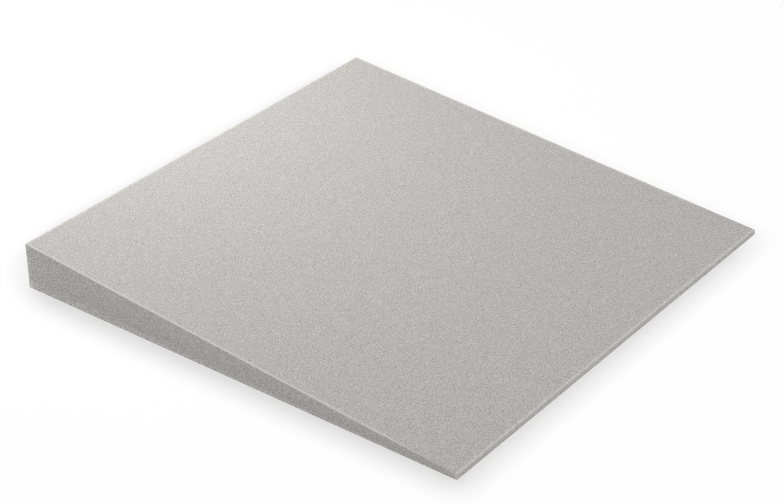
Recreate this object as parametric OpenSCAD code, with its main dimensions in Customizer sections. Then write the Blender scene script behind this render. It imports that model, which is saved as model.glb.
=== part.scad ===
// Tapered acoustic foam panel. One slab of open-cell foam, cut square in plan, with a flat
// base and a flat top that slopes down from a thick end to a thin end.
// X runs down the taper, from the thick end to the thin end. Y runs across it and Z is up.
// The origin is the middle of the base. Millimetres.

/* [Panel] */
// Length down the taper, from the thick end to the thin end
panel_length = 500; // [200:10:1000]
// Width across the taper
panel_width = 500; // [200:10:1000]

/* [Taper] */
// Height of the thick end, where its wall meets the top
thick_end = 48; // [25:1:120]
// Height of the thin end, where its wall meets the top
thin_end = 5.5; // [5:0.5:20]

/* [Edges] */
// Radius of the soft edge that a blade leaves on the foam
edge_radius = 1.2; // [0.5:0.1:2.4]

/* [Hidden] */
$fn = 48;
foam_grey = "#bebdb9";
// Angle of the top's fall towards the thin end
slope_angle = atan2(thick_end - thin_end, panel_length);
// Length of the top, measured down its slope
slope_length = norm([panel_length, thick_end - thin_end]);
// How far each bar runs past the panel, so that only its own edges round it
overrun = 10;
// Depth of the two lengthwise bars: they reach past the far side of the thick end
bar_depth = thick_end + edge_radius + overrun;

// Outlines of the sharp panel, anticlockwise
side_outline = [
    [-panel_length / 2, 0],
    [panel_length / 2, 0],
    [panel_length / 2, thin_end],
    [-panel_length / 2, thick_end]
];
plan_outline = [
    [-panel_length / 2, -panel_width / 2],
    [panel_length / 2, -panel_width / 2],
    [panel_length / 2, panel_width / 2],
    [-panel_length / 2, panel_width / 2]
];
section_outline = [
    [-panel_width / 2, -bar_depth],
    [panel_width / 2, -bar_depth],
    [panel_width / 2, 0],
    [-panel_width / 2, 0]
];

// The corner before, and the one after, corner i of an outline
function before(outline, i) = outline[(i + len(outline) - 1) % len(outline)];
function after(outline, i) = outline[(i + 1) % len(outline)];

// Unit normal that points into an anticlockwise outline from its wall a-b
function inward(a, b) = [a.y - b.y, b.x - a.x] / norm(b - a);

// Centre of the arc that touches both walls of an outline's corner
function arc_centre(a, corner, b, radius) =
    let (first = inward(a, corner), second = inward(corner, b))
    corner + radius * (first + second) / (1 + first * second);

// A convex anticlockwise outline with true arcs at its corners
module rounded(outline, radius) {
    polygon([
        for (i = [0:len(outline) - 1])
            let (a = before(outline, i), corner = outline[i], b = after(outline, i))
            let (centre = arc_centre(a, corner, b, radius))
            each [centre - radius * inward(a, corner), centre - radius * inward(corner, b)]
    ]);
    for (i = [0:len(outline) - 1])
        translate(arc_centre(before(outline, i), outline[i], after(outline, i), radius))
            circle(radius);
}

// Bar along +X with its flat top at z = 0, as wide as the panel
module lengthwise_bar(length) {
    translate([-overrun, 0, 0])
        rotate([90, 0, 90])
            linear_extrude(length + 2 * overrun)
                rounded(section_outline, edge_radius);
}

// The wedge seen from the side, which rounds the four edges across the panel
module side_view() {
    rotate([90, 0, 0])
        linear_extrude(panel_width + 2 * overrun, center = true)
            rounded(side_outline, edge_radius);
}

// The square seen from above, which rounds the four upright edges
module plan_view() {
    translate([0, 0, -overrun])
        linear_extrude(thick_end + 2 * overrun)
            rounded(plan_outline, edge_radius);
}

// The long bar under the slope, which rounds the two long top edges
module under_the_slope() {
    translate([-panel_length / 2, 0, thick_end])
        rotate([0, slope_angle, 0])
            lengthwise_bar(slope_length);
}

// The long bar over the base, which rounds the two long bottom edges
module over_the_base() {
    translate([-panel_length / 2, 0, 0])
        mirror([0, 0, 1])
            lengthwise_bar(panel_length);
}

// The slab is what the four rounded bars share
module foam_panel() {
    color(foam_grey)
        intersection() {
            side_view();
            plan_view();
            under_the_slope();
            over_the_base();
        }
}

foam_panel();
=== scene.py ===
# %% [markdown]
# # A tapered acoustic foam panel
#
# This sound absorber is one square slab of open-cell foam. It is flat underneath, and its top
# falls from a thick end to a thin end. With so little shape, everything rests on four quiet
# things: a true taper, soft cut edges, the grain of the open cells, and light that shows them.
#
# The measured solid is loaded first. It is a fixed frame in metres, and nothing moves it.

# %% Load the frame
from math import cos, radians, sin

import bmesh
import bpy
from mathutils import Matrix, Vector, noise


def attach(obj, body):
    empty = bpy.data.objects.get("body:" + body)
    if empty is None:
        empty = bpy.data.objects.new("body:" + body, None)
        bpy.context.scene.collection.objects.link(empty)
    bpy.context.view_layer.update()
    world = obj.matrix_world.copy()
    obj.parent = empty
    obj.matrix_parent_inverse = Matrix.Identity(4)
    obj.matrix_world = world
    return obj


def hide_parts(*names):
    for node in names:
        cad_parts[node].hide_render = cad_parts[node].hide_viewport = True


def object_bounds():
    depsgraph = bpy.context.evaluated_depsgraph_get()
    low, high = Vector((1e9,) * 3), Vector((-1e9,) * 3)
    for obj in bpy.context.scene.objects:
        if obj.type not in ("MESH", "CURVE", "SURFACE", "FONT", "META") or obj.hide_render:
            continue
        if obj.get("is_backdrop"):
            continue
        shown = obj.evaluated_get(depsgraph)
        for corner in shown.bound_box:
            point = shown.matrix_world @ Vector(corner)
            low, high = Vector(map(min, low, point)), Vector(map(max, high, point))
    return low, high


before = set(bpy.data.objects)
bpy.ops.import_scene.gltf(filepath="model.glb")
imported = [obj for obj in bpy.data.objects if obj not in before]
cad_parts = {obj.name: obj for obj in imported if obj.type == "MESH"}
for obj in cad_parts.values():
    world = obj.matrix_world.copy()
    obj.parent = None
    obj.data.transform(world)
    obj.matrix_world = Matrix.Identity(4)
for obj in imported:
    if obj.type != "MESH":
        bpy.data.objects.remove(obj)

MM = 0.001
cad_low, cad_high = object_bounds()
panel_size = cad_high - cad_low
print("The solid measures", [round(side / MM, 1) for side in panel_size], "mm")

# %% [markdown]
# ## Reading the taper off the solid
#
# The box gives the length and the width. The slope and the softness of the edges are in the
# solid's own mesh, so they are measured there: the largest face that looks up lies in the
# top, and the largest that looks down lies in the base. The base stops short of the wall by
# the edge's radius, and the top's plane gives the height at any place down the taper.

# %% Measure the slope and the edges
UPWARD = 0.5

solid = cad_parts["foam_panel"].data
looking_up = [face for face in solid.polygons if face.normal.z > UPWARD]
looking_down = [face for face in solid.polygons if face.normal.z < -UPWARD]
top_face = max(looking_up, key=lambda face: face.area)
base_face = max(looking_down, key=lambda face: face.area)
top_normal = top_face.normal.copy()
top_point = solid.vertices[top_face.vertices[0]].co.copy()
edge_radius = cad_high.x - max(solid.vertices[i].co.x for i in base_face.vertices)


def top_height(x):
    """Height of the top's plane at a place down the taper."""
    return top_point.z - (x - top_point.x) * top_normal.x / top_normal.z


print("Thick end", round(top_height(cad_low.x) / MM, 2), "mm, thin end",
      round(top_height(cad_high.x) / MM, 2), "mm, edge radius", round(edge_radius / MM, 2), "mm")

# %% [markdown]
# ## Cutting the slab
#
# A band knife cuts such a slab from a block. A cube stretched to the box has the same six
# faces, and setting its upper corners on the slope gives the taper. Drawing the eight corners
# by hand would do as well, but the cube comes closed and with its faces turned outwards.

# %% Make the wedge
slab = bmesh.new()
bmesh.ops.create_cube(slab, size=1.0)
bmesh.ops.scale(slab, vec=panel_size, verts=slab.verts)
bmesh.ops.translate(slab, vec=(cad_low + cad_high) / 2, verts=slab.verts)
for corner in slab.verts:
    upper = corner.co.z > cad_low.z + panel_size.z / 2
    corner.co.z = top_height(corner.co.x) if upper else cad_low.z
print("Corner heights:", sorted({round(corner.co.z / MM, 1) for corner in slab.verts}), "mm")

# %% [markdown]
# ## Soft cut edges
#
# Foam gives under the blade, so no edge of it is sharp. The edges round the top and the four
# upright ones are bevelled first, by the radius that was measured. The edges round the base
# come second and get a smaller radius, because soft foam settles on the floor and its walls
# meet it almost sharply. A few segments are enough for edges of a millimetre or so.
#
# The first bevel leaves a small arc at each corner of the base. An inset as wide as the arc's
# radius brings the arc's points together, and merging them leaves a face with four plain
# corners, which can be filled with a grid.

# %% Round the edges
EDGE_SEGMENTS = 6
BASE_SHARE = 0.3
NEAR_BASE = 1 * MM
MERGE_SHARE = 0.1
base_radius = edge_radius * BASE_SHARE


def underside(form):
    """The largest face that looks down."""
    form.normal_update()
    return max(form.faces, key=lambda face: -face.normal.z * face.calc_area())


for on_base, radius, segments in (
    (False, edge_radius, EDGE_SEGMENTS), (True, base_radius, EDGE_SEGMENTS // 2),
):
    edges = [
        edge for edge in slab.edges
        if on_base == all(end.co.z < cad_low.z + NEAR_BASE for end in edge.verts)
    ]
    bmesh.ops.bevel(
        slab, geom=edges, offset=radius, offset_type="OFFSET", affect="EDGES",
        segments=segments, profile=0.5, material=-1,
    )
    print("Edges rounded to", round(radius / MM, 2), "mm:", len(edges))

base = underside(slab)
bmesh.ops.inset_individual(
    slab, faces=[base], thickness=edge_radius - base_radius, use_even_offset=True,
)
bmesh.ops.remove_doubles(slab, verts=list(base.verts), dist=edge_radius * MERGE_SHARE)
print("Corners of the base:", len(underside(slab).verts))

# %% [markdown]
# ## A fine grid over the foam
#
# Foam is never quite flat: the blade leaves shallow waves, and the cut edges are a little
# ragged. That needs points to move, so the long edges are cut at even steps, and the faces
# between them fill with a grid. The upright edges are cut first, into few rows, because the
# wall is thin at one end.

# %% Subdivide the faces
GRID_STEP = 2.5 * MM
WALL_ROWS = 5
MOSTLY = 0.9


def long_edges(form, axis, shortest):
    """The edges that run mainly along an axis and are at least so long."""
    found = []
    for edge in form.edges:
        run = edge.verts[1].co - edge.verts[0].co
        if run.length >= shortest and abs(run[axis]) > MOSTLY * run.length:
            found.append(edge)
    return found


shortest_upright = top_height(cad_high.x) - 3 * edge_radius
upright = long_edges(slab, 2, shortest_upright)
bmesh.ops.subdivide_edges(slab, edges=upright, cuts=WALL_ROWS - 1, use_grid_fill=True)
level = long_edges(slab, 0, panel_size.x / 2) + long_edges(slab, 1, panel_size.y / 2)
bmesh.ops.subdivide_edges(
    slab, edges=level, cuts=round(panel_size.x / GRID_STEP) - 1, use_grid_fill=True,
)
bmesh.ops.recalc_face_normals(slab, faces=slab.faces)
largest = max(face.calc_area() for face in slab.faces)
print("Upright edges cut:", len(upright), "level edges cut:", len(level),
      "faces:", len(slab.faces), "largest:", round(largest / MM ** 2, 1), "mm2")

# %% [markdown]
# ## Blade waves and ragged edges
#
# Two noises move the points. A long one, about as long as a hand is wide, is the wander of
# the blade. A short one acts only near the edges, where single cells tear out. Both take foam
# away and never add it, so the slab stays inside its box, and both fade out towards the base,
# because the panel lies flat on whatever it is fixed to.

# %% Move the points
WAVE_LENGTH, WAVE_DEPTH = 90 * MM, 0.3 * MM
TEAR_LENGTH, TEAR_DEPTH = 6 * MM, 0.3 * MM
TEAR_REACH = 3 * MM
FLAT_BASE = 3 * MM


def to_nearest_edge(point):
    """Distance from a point of the surface to the nearest edge of the top or of a corner."""
    off_walls = sorted((cad_high.x - abs(point.x), cad_high.y - abs(point.y)))
    below_top = top_normal.dot(top_point - point)
    return min(max(off_walls[0], below_top), off_walls[1])


def unit_noise(point):
    """Noise that runs from 0 to 1."""
    return 0.5 + 0.5 * noise.noise(point)


deepest = 0.0
for point in slab.verts:
    wave = WAVE_DEPTH * unit_noise(point.co / WAVE_LENGTH)
    near = max(0.0, 1.0 - to_nearest_edge(point.co) / TEAR_REACH)
    tear = TEAR_DEPTH * near * unit_noise(point.co / TEAR_LENGTH)
    cut = (wave + tear) * min(1.0, (point.co.z - cad_low.z) / FLAT_BASE)
    point.co -= point.normal * cut
    deepest = max(deepest, cut)
print("Points:", len(slab.verts), "deepest cut:", round(deepest / MM, 2), "mm")

# %% [markdown]
# ## The slab becomes a piece
#
# The form is written to a mesh, and its object stays at the origin, so a pattern that reads
# Object coordinates lies still on it. It rides on the panel's only body, and it stands in for
# the plain solid.

# %% Save the slab as a piece
foam_mesh = bpy.data.meshes.new("cut_foam_slab")
for face in slab.faces:
    face.smooth = True
slab.to_mesh(foam_mesh)
slab.free()
foam = bpy.data.objects.new("cut_foam_slab", foam_mesh)
bpy.context.scene.collection.objects.link(foam)
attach(foam, "root")
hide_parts("foam_panel")
triangles = sum(len(face.vertices) - 2 for face in foam_mesh.polygons)
print("Triangles in the foam:", triangles)

# %% [markdown]
# ## Two helpers for materials
#
# Colours are written as they look on a screen, in hex, and Blender's shaders want them linear,
# so one function turns them. A material made in code is a list of nodes and links, and one
# small function adds a node and links it in the same line.

# %% Helpers for materials
def colour(code):
    """An sRGB hex colour as linear RGBA."""
    parts = [int(code[i:i + 2], 16) / 255 for i in (1, 3, 5)]
    linear = [part / 12.92 if part <= 0.04045 else ((part + 0.055) / 1.055) ** 2.4 for part in parts]
    return linear + [1.0]


def add(tree, kind, settings=None, inputs=None):
    """Adds a node. An input takes a plain value, or another node's socket to be linked to."""
    node = tree.nodes.new(kind)
    for name, value in (settings or {}).items():
        setattr(node, name, value)
    for name, value in (inputs or {}).items():
        if isinstance(value, bpy.types.NodeSocket):
            tree.links.new(value, node.inputs[name])
        else:
            node.inputs[name].default_value = value
    return node


print("Middle grey on a screen is", round(colour("#808080")[0], 3), "in linear light")

# %% [markdown]
# ## The foam: how far is the nearest edge?
#
# Along its cut edges the foam looks paler and smoother. Part of that is the foam, whose cells
# there are crushed and frayed, and part is a painted highlight, where the rounded edges catch
# more light than the faces beside them. The shader needs to know how near an edge is.
# Painting an attribute would do it, but the slab is so simple that its Object coordinates are
# enough. This cell finds how far a point lies from the four walls and below the top.

# %% Distances from the walls and from the top, as nodes
foam_material = bpy.data.materials.new("cut_open_cell_polyurethane_foam")
foam_material.use_nodes = True
tree = foam_material.node_tree
foam_surface = tree.nodes["Principled BSDF"]
place = add(tree, "ShaderNodeTexCoord").outputs["Object"]
along = add(tree, "ShaderNodeSeparateXYZ", None, {"Vector": place})
rise = add(tree, "ShaderNodeVectorMath", {"operation": "DOT_PRODUCT"}, {0: place, 1: top_normal})
below_top = add(tree, "ShaderNodeMath", {"operation": "SUBTRACT"},
                {0: top_normal.dot(top_point), 1: rise.outputs["Value"]}).outputs[0]
off_walls = []
for axis, half_side in (("X", panel_size.x / 2), ("Y", panel_size.y / 2)):
    off_middle = add(tree, "ShaderNodeMath", {"operation": "ABSOLUTE"}, {0: along.outputs[axis]})
    off_wall = add(tree, "ShaderNodeMath", {"operation": "SUBTRACT"},
                   {0: half_side, 1: off_middle.outputs[0]})
    off_walls.append(off_wall.outputs[0])
print("Nodes in the foam so far:", len(tree.nodes))

# %% [markdown]
# ## The foam: one distance for all the edges
#
# A point on an edge is near two faces at once. So the larger of its distances from two faces
# is its distance from the edge between them, and the smallest of those over all the edges is
# the one that counts.
#
# The pale band, partly frayed cells and partly painted highlight, isn't alike on every edge,
# so a distance is stretched before it is compared, and a stretched distance makes a narrower
# band. A wall gets a narrower band than the top. The two ends, cut across the taper, get a
# narrow band down the wall and along their upright edges. The two sides have the softer, wider
# band. Its band on the top is a little narrower at the thick end and a little wider along the
# side at +Y. Over the last few centimetres before the thin end the bands of both sides narrow
# to a line.

# %% Distance from the nearest edge
# Stretches that set the pale band's width edge by edge. The band is partly painted highlight.
END_FADE = 4.2
SIDE_FADE = 2.0
THICK_FADE = 1.25
FAR_FADE = 0.68
TIP_FADE, TIP_LENGTH = 3.2, 80 * MM
CORNER_FADE = 0.9

top_fades = []
for axis, low, high, start, end in (
    ("X", cad_low.x, cad_high.x, THICK_FADE, 1.0), ("Y", cad_low.y, cad_high.y, 1.0, FAR_FADE),
):
    fade = add(tree, "ShaderNodeMapRange", None,
               {"Value": along.outputs[axis], "From Min": low, "From Max": high,
                "To Min": start, "To Max": end})
    top_fades.append(fade.outputs["Result"])
side_fade = add(tree, "ShaderNodeMath", {"operation": "MULTIPLY"},
                {0: top_fades[0], 1: top_fades[1]}).outputs[0]
tip_fade = add(tree, "ShaderNodeMapRange", None,
               {"Value": along.outputs["X"], "From Min": cad_high.x - TIP_LENGTH,
                "From Max": cad_high.x, "To Min": 1.0, "To Max": TIP_FADE}).outputs["Result"]
off_rims, off_corners = [], []
for off_wall, top_fade, wall_fade, rim_fade, corner_fade in (
    (off_walls[0], 1.0, END_FADE, 1.0, CORNER_FADE),
    (off_walls[1], side_fade, SIDE_FADE, tip_fade, END_FADE),
):
    across_top = add(tree, "ShaderNodeMath", {"operation": "MULTIPLY"}, {0: off_wall, 1: top_fade})
    down_wall = add(tree, "ShaderNodeMath", {"operation": "MULTIPLY"}, {0: below_top, 1: wall_fade})
    off_rim = add(tree, "ShaderNodeMath", {"operation": "MAXIMUM"},
                  {0: across_top.outputs[0], 1: down_wall.outputs[0]})
    off_rim = add(tree, "ShaderNodeMath", {"operation": "MULTIPLY"},
                  {0: off_rim.outputs[0], 1: rim_fade})
    off_corner = add(tree, "ShaderNodeMath", {"operation": "MULTIPLY"}, {0: off_wall, 1: corner_fade})
    off_rims.append(off_rim.outputs[0])
    off_corners.append(off_corner.outputs[0])
off_rim = add(tree, "ShaderNodeMath", {"operation": "MINIMUM"}, {0: off_rims[0], 1: off_rims[1]})
off_corner = add(tree, "ShaderNodeMath", {"operation": "MAXIMUM"},
                 {0: off_corners[0], 1: off_corners[1]})
off_edge = add(tree, "ShaderNodeMath", {"operation": "MINIMUM"},
               {0: off_rim.outputs[0], 1: off_corner.outputs[0]})
print("Nodes in the foam so far:", len(tree.nodes))

# %% [markdown]
# ## The foam: the pale band, partly painted highlight
#
# The band is palest on the edge itself and has no clear end, like the highlight it partly
# paints. The distance is turned round, to 1 on the edge and 0 at the band's reach, and raised
# to a power. That keeps the edge pale and lets the band die away quickly beside it.

# %% The pale band along the edges, partly painted highlight
# Painted highlight along the rounded edges, together with the paler crushed cells there.
EDGE_REACH = 5.5 * MM
EDGE_FALL = 3.0
edge = add(tree, "ShaderNodeMapRange", None,
           {"Value": off_edge.outputs[0], "From Max": EDGE_REACH, "To Min": 1.0, "To Max": 0.0})
edge = add(tree, "ShaderNodeMath", {"operation": "POWER"}, {0: edge.outputs[0], 1: EDGE_FALL})
print("Pale band:", EDGE_REACH / MM, "mm on the top,", round(EDGE_REACH / END_FADE / MM, 1),
      "mm down an end,", round(EDGE_REACH / SIDE_FADE / MM, 1), "mm down a side")

# %% [markdown]
# ## The foam: painted light at the foot of a wall
#
# The bottom edge is a cut edge too, but the pale band at the foot of a side is mostly painted
# light. Along the two sides the foot looks as light as the rest of the wall, although the paper
# near it lies in the slab's shade and throws little light back. So the foot of a side gets a
# weaker pale band, painted in to make up for that missing light. The band's height is a share
# of the wall's, which keeps it in proportion down the taper. Round the corners and under the
# slab it ends a finger's width from the side.

# %% The pale foot, painted light
# Painted light: the foot of a side is made paler to make up for the slab's shade on the paper near
# it.
FOOT_SHARE = 0.33
FOOT_WIDTH = 12 * MM
FOOT_FALL = 2.0
FOOT_PAINTED_LIGHT = 0.75
wall_height = add(tree, "ShaderNodeMath", {"operation": "ADD"}, {0: along.outputs["Z"], 1: below_top})
up_wall = add(tree, "ShaderNodeMath", {"operation": "DIVIDE"},
              {0: along.outputs["Z"], 1: wall_height.outputs[0]})
off_side = add(tree, "ShaderNodeMath", {"operation": "MULTIPLY"},
               {0: off_walls[1], 1: FOOT_SHARE / FOOT_WIDTH})
off_foot = add(tree, "ShaderNodeMath", {"operation": "MAXIMUM"},
               {0: up_wall.outputs[0], 1: off_side.outputs[0]})
foot = add(tree, "ShaderNodeMapRange", None,
           {"Value": off_foot.outputs[0], "From Max": FOOT_SHARE, "To Min": 1.0, "To Max": 0.0})
foot = add(tree, "ShaderNodeMath", {"operation": "POWER"}, {0: foot.outputs[0], 1: FOOT_FALL})
foot = add(tree, "ShaderNodeMath", {"operation": "MULTIPLY"}, {0: foot.outputs[0], 1: FOOT_PAINTED_LIGHT})
# The pale mask: crushed cells and painted highlight along the edges, and painted light at the foot.
pale = add(tree, "ShaderNodeMath", {"operation": "MAXIMUM"}, {0: edge.outputs[0], 1: foot.outputs[0]})
print("Pale foot:", round(FOOT_SHARE * top_height(cad_low.x) / MM, 1), "mm high at the thick end,",
      round(FOOT_SHARE * top_height(cad_high.x) / MM, 1), "mm at the thin end")

# %% [markdown]
# ## The foam: open cells
#
# The material is polyurethane foam, blown and then cut, so every face is a section through
# open cells. To the eye it is dead matt: light sinks into the cells and comes back from the
# struts, with no gloss. Close by one sees fine dark pits, far off only an even grain.
#
# A Voronoi texture has the right build, because foam cells are packed in the same way. Its
# distance from the cell's middle is dark in the pit and pale on the struts. A cell is 0.7 mm
# wide, as in foam of about 36 cells per inch. The texture reads all three coordinates, so the
# grain runs through the slab, and each cut face shows its own section.
#
# Cells are cut at different depths, so most look alike, a few are dark holes and a few are
# bright. The texture gives each cell a random colour. One channel of it, spread from below
# zero to above it and raised to an odd power, is nearly nothing for most cells and strong for
# a few. The lower end of the spread is the longer one, because holes are darker than struts
# are bright.

# %% Pits and struts
PORE = 0.7 * MM
PIT_SHADE, STRUT_SHADE = 0.497, 1.173
PIT_WIDTH = 0.6
ODD_DARK, ODD_BRIGHT = -1.06, 1.03
ODD_POWER = 5.0
ODD_AMOUNT = 0.32
cells = add(tree, "ShaderNodeTexVoronoi", {"feature": "F1"}, {"Vector": place, "Scale": 1 / PORE})
strut = add(tree, "ShaderNodeMapRange", None,
            {"Value": cells.outputs["Distance"], "From Max": PIT_WIDTH,
             "To Min": PIT_SHADE, "To Max": STRUT_SHADE})
lot = add(tree, "ShaderNodeSeparateColor", None, {"Color": cells.outputs["Color"]})
odd = add(tree, "ShaderNodeMapRange", None,
          {"Value": lot.outputs["Red"], "To Min": ODD_DARK, "To Max": ODD_BRIGHT})
odd = add(tree, "ShaderNodeMath", {"operation": "POWER"}, {0: odd.outputs[0], 1: ODD_POWER})
odd = add(tree, "ShaderNodeMath", {"operation": "MULTIPLY_ADD"},
          {0: odd.outputs[0], 1: ODD_AMOUNT, 2: 1.0})
pattern = add(tree, "ShaderNodeMath", {"operation": "MULTIPLY"},
              {0: strut.outputs[0], 1: odd.outputs[0]})
print("Cells along one side of the panel:", round(panel_size.x / PORE))

# %% [markdown]
# ## The foam: how strong the grain is
#
# Foam rises as it is blown, and its cells end up taller than they are wide. A wall cuts them
# lengthwise and opens deeper pits than the top does, so most of a wall has the stronger grain.
# Along the edges the cells are crushed shut, and there the grain nearly goes. The foam isn't
# the same all through, either. Its top is calmer near the thick end, and its walls are calmer
# near the thin end.
#
# The grain is mixed in from an even shade. That shade is the pattern's own average, so a face
# keeps its lightness however strong its grain is. The mix isn't clamped, because the grain on
# a wall goes a little past the plain pattern.

# %% Strength of the grain
TOP_GRAIN = (0.79, 0.98)
WALL_GRAIN = (1.28, 0.9)
WALL_STARTS = 2 * MM
EDGE_CLOSED = 0.8
EVEN_SHADE = 1.035
grains = []
for at_thick_end, at_thin_end in (TOP_GRAIN, WALL_GRAIN):
    down_taper = add(tree, "ShaderNodeMapRange", None,
                     {"Value": along.outputs["X"], "From Min": cad_low.x, "From Max": cad_high.x,
                      "To Min": at_thick_end, "To Max": at_thin_end})
    grains.append(down_taper.outputs["Result"])
grain = add(tree, "ShaderNodeMapRange", None,
            {"Value": below_top, "From Max": WALL_STARTS, "To Min": grains[0], "To Max": grains[1]})
open_share = add(tree, "ShaderNodeMath", {"operation": "MULTIPLY_ADD"},
                 {0: edge.outputs[0], 1: -EDGE_CLOSED, 2: 1.0})
grain = add(tree, "ShaderNodeMath", {"operation": "MULTIPLY"},
            {0: grain.outputs[0], 1: open_share.outputs[0]})
shade = add(tree, "ShaderNodeMix", {"clamp_factor": False},
            {"Factor": grain.outputs[0], "A": EVEN_SHADE, "B": pattern.outputs[0]})
print("Grain on the thin end's edge:", round(TOP_GRAIN[1] * (1 - EDGE_CLOSED), 2), "of the pattern")

# %% [markdown]
# ## The foam: its colour
#
# The pigment goes in before the foam is blown, so the slab has one light, slightly warm grey
# all through. The pale band mixes it towards a lighter grey of the same warmth. That band is
# partly crushed edge cells and partly painted light: a highlight along the edges and a lift at
# the foot of each side. The grain then scales the result, which makes pits darker and struts
# lighter and leaves the hue alone.

# %% Colour of the foam
FOAM = "#BEBDB9"
# Lighter grey for the pale band: crushed edges, painted highlight and painted light at the foot.
EDGE_FOAM_AND_PAINTED_LIGHT = "#ECEBE7"
mixed = add(tree, "ShaderNodeMix", {"data_type": "RGBA"},
            {"Factor": pale.outputs[0], "A": colour(FOAM), "B": colour(EDGE_FOAM_AND_PAINTED_LIGHT)})
body = add(tree, "ShaderNodeVectorMath", {"operation": "SCALE"},
           {0: mixed.outputs["Result"], "Scale": shade.outputs["Result"]})
tree.links.new(body.outputs["Vector"], foam_surface.inputs["Base Color"])
print("Foam in linear light:", [round(part, 3) for part in colour(FOAM)[:3]])

# %% [markdown]
# ## The foam: roughness and relief
#
# A cut strut is a little smoother than the torn film in a pit, so roughness falls slightly
# from the pit to the strut. The same distance drives a bump, so that pits sink where they are
# dark. Its depth is a quarter of a cell, because the blade closes them a little, and its
# strength is low, because the colour already shows the pits. There is next to no mirror light
# from foam, so the specular level is close to zero.

# %% Roughness and relief
PIT_ROUGH, STRUT_ROUGH = 1.0, 0.85
BUMP_DEPTH = PORE / 4
BUMP_STRENGTH = 0.3
FOAM_GLOSS = 0.1
rough = add(tree, "ShaderNodeMapRange", None,
            {"Value": cells.outputs["Distance"], "From Max": PIT_WIDTH,
             "To Min": PIT_ROUGH, "To Max": STRUT_ROUGH})
bump = add(tree, "ShaderNodeBump", None,
           {"Height": cells.outputs["Distance"], "Strength": BUMP_STRENGTH, "Distance": BUMP_DEPTH})
tree.links.new(rough.outputs["Result"], foam_surface.inputs["Roughness"])
tree.links.new(bump.outputs["Normal"], foam_surface.inputs["Normal"])
foam_surface.inputs["Specular IOR Level"].default_value = FOAM_GLOSS
foam_mesh.materials.append(foam_material)
print("Nodes in the foam:", len(tree.nodes))

# %% [markdown]
# ## The floor
#
# The panel lies on a sheet of white paper that runs far past the view. One flat square does
# for it, since neither its edge nor its thickness comes near the panel. It is marked as part
# of the stage, so it isn't taken for a piece of the object.

# %% Make the floor
FLOOR_HALF = 12.0
floor_form = bmesh.new()
bmesh.ops.create_grid(floor_form, x_segments=1, y_segments=1, size=FLOOR_HALF)
floor_mesh = bpy.data.meshes.new("studio_floor")
floor_form.to_mesh(floor_mesh)
floor_form.free()
floor = bpy.data.objects.new("studio_floor", floor_mesh)
bpy.context.scene.collection.objects.link(floor)
floor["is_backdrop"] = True
print("Floor:", 2 * FLOOR_HALF, "m square")

# %% [markdown]
# ## A soft shade on the paper
#
# Under a wide soft sky a low slab's shade is the shape of the slab, moved away from the main
# light and blurred. Its outline starts round the base, and reaches to where the thick end's
# upper corners are thrown by their height. The thin end is too low to throw any shade that
# shows. Each side of the outline gives one soft step, and the product of the steps is the
# blurred shape. A step is measured outwards across its side, in the floor's own coordinates.
# The two sides that run between the base and the thrown corners are the softest.

# %% The blurred shade, as nodes
SHADE_DEPTH = 0.287
SHADE_BLUR = 23.6 * MM
SHADE_SHIFT = Vector((12.1 * MM, -15.0 * MM))
SHADE_THROW = Vector((-1.46, 1.5))
FAR_SOFTNESS, NEAR_SOFTNESS = 2.0, 1.25

paper = bpy.data.materials.new("white_paper_sweep")
paper.use_nodes = True
tree = paper.node_tree
paper_surface = tree.nodes["Principled BSDF"]
place = add(tree, "ShaderNodeTexCoord").outputs["Object"]
thick_end = top_height(cad_low.x)
outline, blurs = [], []
for x, y, height, softness in (
    (cad_low.x, cad_low.y, 0.0, 1.0),
    (cad_high.x, cad_low.y, 0.0, 1.0),
    (cad_high.x, cad_high.y, 0.0, FAR_SOFTNESS),
    (cad_low.x, cad_high.y, thick_end, 1.0),
    (cad_low.x, cad_low.y, thick_end, NEAR_SOFTNESS),
):
    outline.append(Vector((x, y)) + SHADE_SHIFT + SHADE_THROW * height)
    blurs.append(SHADE_BLUR * softness)
shade = SHADE_DEPTH
for start, end, blur in zip(outline, outline[1:] + outline[:1], blurs):
    outward = Vector((end.y - start.y, start.x - end.x, 0)).normalized()
    side = outward.xy.dot(start)
    reach = add(tree, "ShaderNodeVectorMath", {"operation": "DOT_PRODUCT"}, {0: place, 1: outward})
    step = add(tree, "ShaderNodeMapRange", {"interpolation_type": "SMOOTHSTEP"},
               {"Value": reach.outputs["Value"], "From Min": side - blur, "From Max": side + blur,
                "To Min": 1.0, "To Max": 0.0})
    shade = add(tree, "ShaderNodeMath", {"operation": "MULTIPLY"},
                {0: shade, 1: step.outputs[0]}).outputs[0]
print("Corners of the shade:", [[round(part / MM) for part in corner] for corner in outline], "mm")

# %% [markdown]
# ## What looks and what lights
#
# A white floor that is lit like the object comes out grey, and more light would wash the
# object out. Light Path tells the two uses of a surface apart: a ray from the camera, or one
# that a gloss or a clear thing sends on, only looks. Every other ray carries light. The floor
# and the world answer the two differently, so one helper finds which ray it is.

# %% Tell looking from lighting
def looks(tree):
    """A socket that is 1 for a ray that only looks, and 0 for a ray that carries light."""
    ray = add(tree, "ShaderNodeLightPath")
    sent_on = add(tree, "ShaderNodeMath", {"operation": "ADD"},
                  {0: ray.outputs["Is Glossy Ray"], 1: ray.outputs["Is Transmission Ray"]})
    seen = add(tree, "ShaderNodeMath", {"operation": "ADD", "use_clamp": True},
               {0: ray.outputs["Is Camera Ray"], 1: sent_on.outputs[0]})
    return seen.outputs[0]


seen = looks(tree)
print("Nodes in the paper so far:", len(tree.nodes))

# %% [markdown]
# ## White paper
#
# Uncoated paper is matt and shows no gloss, so its roughness is 1 and its specular level 0.
# To the light it is plain paper that throws 92% back onto the foam. To the eye most of its
# white is its own, less the shade, and a small part is light that falls on it, which keeps
# the panel's real shadow there. Far out the paper brightens to pure white, so that no horizon
# shows from low down.

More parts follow.
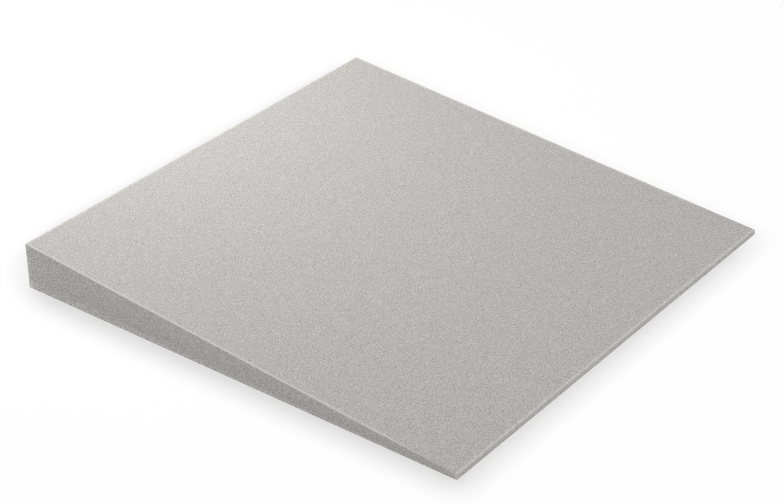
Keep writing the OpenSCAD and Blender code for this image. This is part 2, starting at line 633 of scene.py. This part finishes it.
# %% Finish the paper
PAPER = 0.92
PAPER_SEEN = 0.08
PAPER_LIFT = 0.927
PAPER_NEAR, PAPER_FAR = 1.5, 4.0
off_panel = add(tree, "ShaderNodeVectorMath", {"operation": "LENGTH"}, {0: place})
white = add(tree, "ShaderNodeMapRange", {"interpolation_type": "SMOOTHSTEP"},
            {"Value": off_panel.outputs["Value"], "From Min": PAPER_NEAR, "From Max": PAPER_FAR,
             "To Min": PAPER_LIFT, "To Max": 1.0})
lift = add(tree, "ShaderNodeMath", {"operation": "SUBTRACT"}, {0: 1.0, 1: shade})
lift = add(tree, "ShaderNodeMath", {"operation": "MULTIPLY"},
           {0: lift.outputs[0], 1: white.outputs[0]})
lift = add(tree, "ShaderNodeMath", {"operation": "MULTIPLY"}, {0: lift.outputs[0], 1: seen})
grey = add(tree, "ShaderNodeMapRange", None, {"Value": seen, "To Min": PAPER, "To Max": PAPER_SEEN})
tree.links.new(grey.outputs["Result"], paper_surface.inputs["Base Color"])
tree.links.new(lift.outputs[0], paper_surface.inputs["Emission Strength"])
paper_surface.inputs["Emission Color"].default_value = [1.0, 1.0, 1.0, 1.0]
paper_surface.inputs["Roughness"].default_value = 1.0
paper_surface.inputs["Specular IOR Level"].default_value = 0.0
floor_mesh.materials.append(paper)
print("Nodes in the paper:", len(tree.nodes))

# %% [markdown]
# ## The world
#
# The studio is a white dome. Its light comes from everywhere, reaches the walls as well as
# the top, and draws no edge. It is held at about half strength, so that the lamps have
# something to add. A ray that only looks sees it at a strength of 1, which is white.

# %% Light the dome
WORLD = 0.545
world = bpy.data.worlds.new("studio_dome")
bpy.context.scene.world = world
world.use_nodes = True
tree = world.node_tree
dome = tree.nodes["Background"]
strength = add(tree, "ShaderNodeMapRange", None,
               {"Value": looks(tree), "To Min": WORLD, "To Max": 1.0})
dome.inputs["Color"].default_value = [1.0, 1.0, 1.0, 1.0]
tree.links.new(strength.outputs["Result"], dome.inputs["Strength"])
print("The dome lights the panel at", WORLD, "and looks white")

# %% [markdown]
# ## The lamps
#
# Two softboxes shape the slab. The first hangs over the thick end and a little behind it. It
# is close, so its light fades down the taper. The second is larger and stands well off the
# thin end, above the panel. It lifts the thin end's wall and leaves the near side wall to the
# dome, and that difference makes the taper plain to see.

# %% Hang the softboxes
def softbox(name, stands, aim, width, power):
    """A round softbox of a given width, turned towards a point."""
    light = bpy.data.lights.new(name, "AREA")
    light.shape = "DISK"
    light.size = width
    light.energy = power
    lamp = bpy.data.objects.new(name, light)
    lamp.location = stands
    lamp.rotation_euler = (Vector(aim) - Vector(stands)).to_track_quat("-Z", "Y").to_euler()
    bpy.context.scene.collection.objects.link(lamp)
    print(name, "gives", power, "W from", round((Vector(aim) - Vector(stands)).length, 2), "m")


softbox("lamp_back", stands=(-0.5, 0.02, 0.6), aim=(-0.05, 0, 0), width=0.5, power=2.85)
softbox("lamp_right", stands=(1.6, 0.3, 1.1), aim=(0, 0, 0), width=1.0, power=5.36)

# %% [markdown]
# ## The camera
#
# The camera looks down on the corner between a side and the thin end, through a long lens
# that keeps the square's sides close to parallel. Its direction comes from two angles. It is
# then slid a little to the right and up without turning, and the lens is shifted slightly
# sideways. Both move the panel in the frame: the shift leaves its perspective alone, and so
# small a slide hardly changes it. The focal length and the shift are given in widths of the
# frame, so they hold for a sensor of any size.

# %% Set up the camera
AZIMUTH = radians(37.02)
ELEVATION = radians(31.08)
DISTANCE = 2.0614
FOCAL = 2.7234
SLIDE_RIGHT, SLIDE_UP = 0.0121, 0.0077
SHIFT = -0.02551

towards = Vector((sin(AZIMUTH) * cos(ELEVATION), -cos(AZIMUTH) * cos(ELEVATION), sin(ELEVATION)))
right = Vector((cos(AZIMUTH), sin(AZIMUTH), 0))
up = towards.cross(right)
view_from = towards * DISTANCE + right * SLIDE_RIGHT + up * SLIDE_UP
lens = bpy.data.cameras.new("camera")
lens.lens = FOCAL * lens.sensor_width
lens.shift_x = SHIFT
camera = bpy.data.objects.new("camera", lens)
turn = Matrix((right, up, towards)).transposed().to_4x4()
camera.matrix_world = Matrix.Translation(view_from) @ turn
bpy.context.scene.collection.objects.link(camera)
bpy.context.scene.camera = camera
print("The camera stands at", [round(part, 3) for part in view_from], "m,",
      "lens:", round(lens.lens, 1), "mm")

# %% [markdown]
# ## Keeping the grain in the picture
#
# The Standard view shows colours as they are written. Two more settings are there for the
# grain, which is as fine as the picture can show. The denoiser steers by the surface's plain
# colour, and normally smooths that guide before it looks at it. With the smoothing left out,
# the grain in the colour reaches the picture. The renderer also spreads each sample over the
# points around it, and a filter that is as wide as one point keeps them apart.

# %% Set the view
scene = bpy.context.scene
scene.view_settings.view_transform = "Standard"
scene.cycles.denoising_prefilter = "NONE"
scene.cycles.filter_width = 1.0
print("View:", scene.view_settings.view_transform, "filter:", scene.cycles.filter_width)

# %% [markdown]
# ## The visual box
#
# The visual slab has to stay in the space of the measured solid, so its box is printed at the
# end, like the solid's box at the start.

# %% Print the visual box
low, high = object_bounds()
print("Visual box:", [round(side / MM, 1) for side in high - low], "mm")
